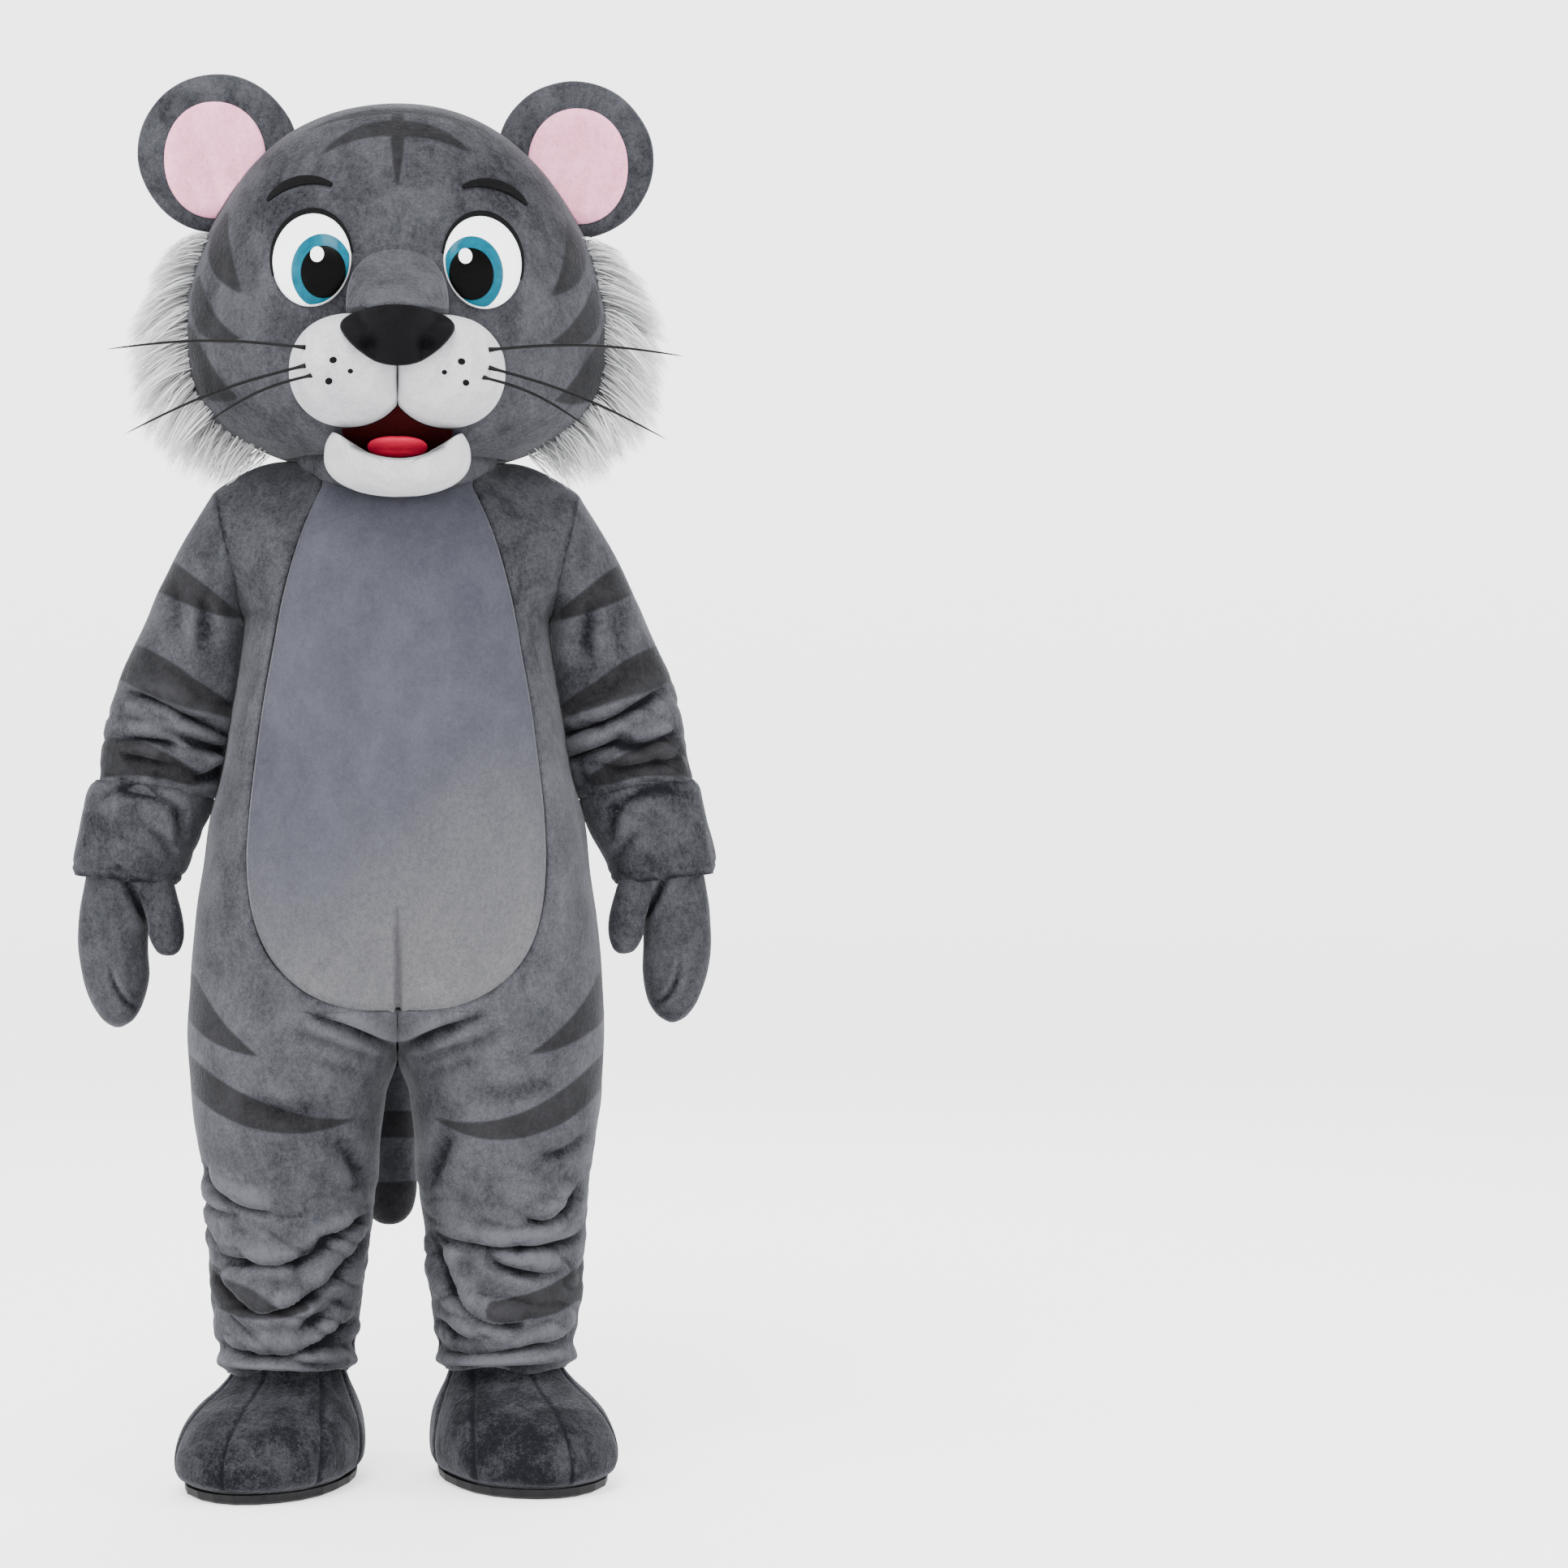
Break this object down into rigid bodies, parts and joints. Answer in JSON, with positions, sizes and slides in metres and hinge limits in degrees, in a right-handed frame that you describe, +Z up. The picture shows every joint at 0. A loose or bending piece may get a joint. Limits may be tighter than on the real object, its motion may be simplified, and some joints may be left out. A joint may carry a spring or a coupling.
{
  "type": "mascot costume",
  "caption": "Hollow plush tiger mascot costume in its worn standing pose: big round head, jumpsuit with oval belly panel, mitten gloves, padded shoe covers and tail.",
  "frame": {"origin": "the middle of the wearer's neck, 1.36 m above the floor the soles stand on", "axes": "+Z up; the face looks along -Y; +X is to the right as seen from the front"},
  "size_m": [0.88, 0.6684, 1.917],
  "materials": {
    "grey_plush": "short brushed pile",
    "belly_plush": "short brushed pile",
    "white_plush": "short pile",
    "white_fur": "long pile",
    "pink_plush": "short pile",
    "nose_cover": "satin",
    "black_felt": "felt",
    "mouth_cloth": "matte",
    "tongue_cloth": "matte",
    "eye_plastic": "gloss",
    "sole_rubber": "matte",
    "whisker_nylon": "matte"
  },
  "bodies": {
    "root": {"belly": "belly_plush", "collar": "grey_plush", "tail": "grey_plush", "head_face": "grey_plush", "head_back_left": "grey_plush", "head_back_right": "grey_plush", "snout_bridge": "grey_plush", "muzzle_left": "white_plush", "muzzle_right": "white_plush", "nose": "nose_cover", "mouth_lining": "mouth_cloth", "tongue": "tongue_cloth", "jaw": "white_plush", "front_left": "grey_plush", "back_left": "grey_plush", "sleeve_left": "grey_plush", "cuff_left": "grey_plush", "glove_hand_left": "grey_plush", "glove_thumb_left": "grey_plush", "shoe_upper_left": "grey_plush", "shoe_sole_left": "sole_rubber", "ear_left": "grey_plush", "ear_lining_left": "pink_plush", "ruff_left": "white_fur", "eye_left": "eye_plastic", "brow_left": "black_felt", "whisker_left_1": "whisker_nylon", "whisker_left_2": "whisker_nylon", "whisker_left_3": "whisker_nylon", "front_right": "grey_plush", "back_right": "grey_plush", "sleeve_right": "grey_plush", "cuff_right": "grey_plush", "glove_hand_right": "grey_plush", "glove_thumb_right": "grey_plush", "shoe_upper_right": "grey_plush", "shoe_sole_right": "sole_rubber", "ear_right": "grey_plush", "ear_lining_right": "pink_plush", "ruff_right": "white_fur", "eye_right": "eye_plastic", "brow_right": "black_felt", "whisker_right_1": "whisker_nylon", "whisker_right_2": "whisker_nylon", "whisker_right_3": "whisker_nylon"}
  },
  "joints": []
}
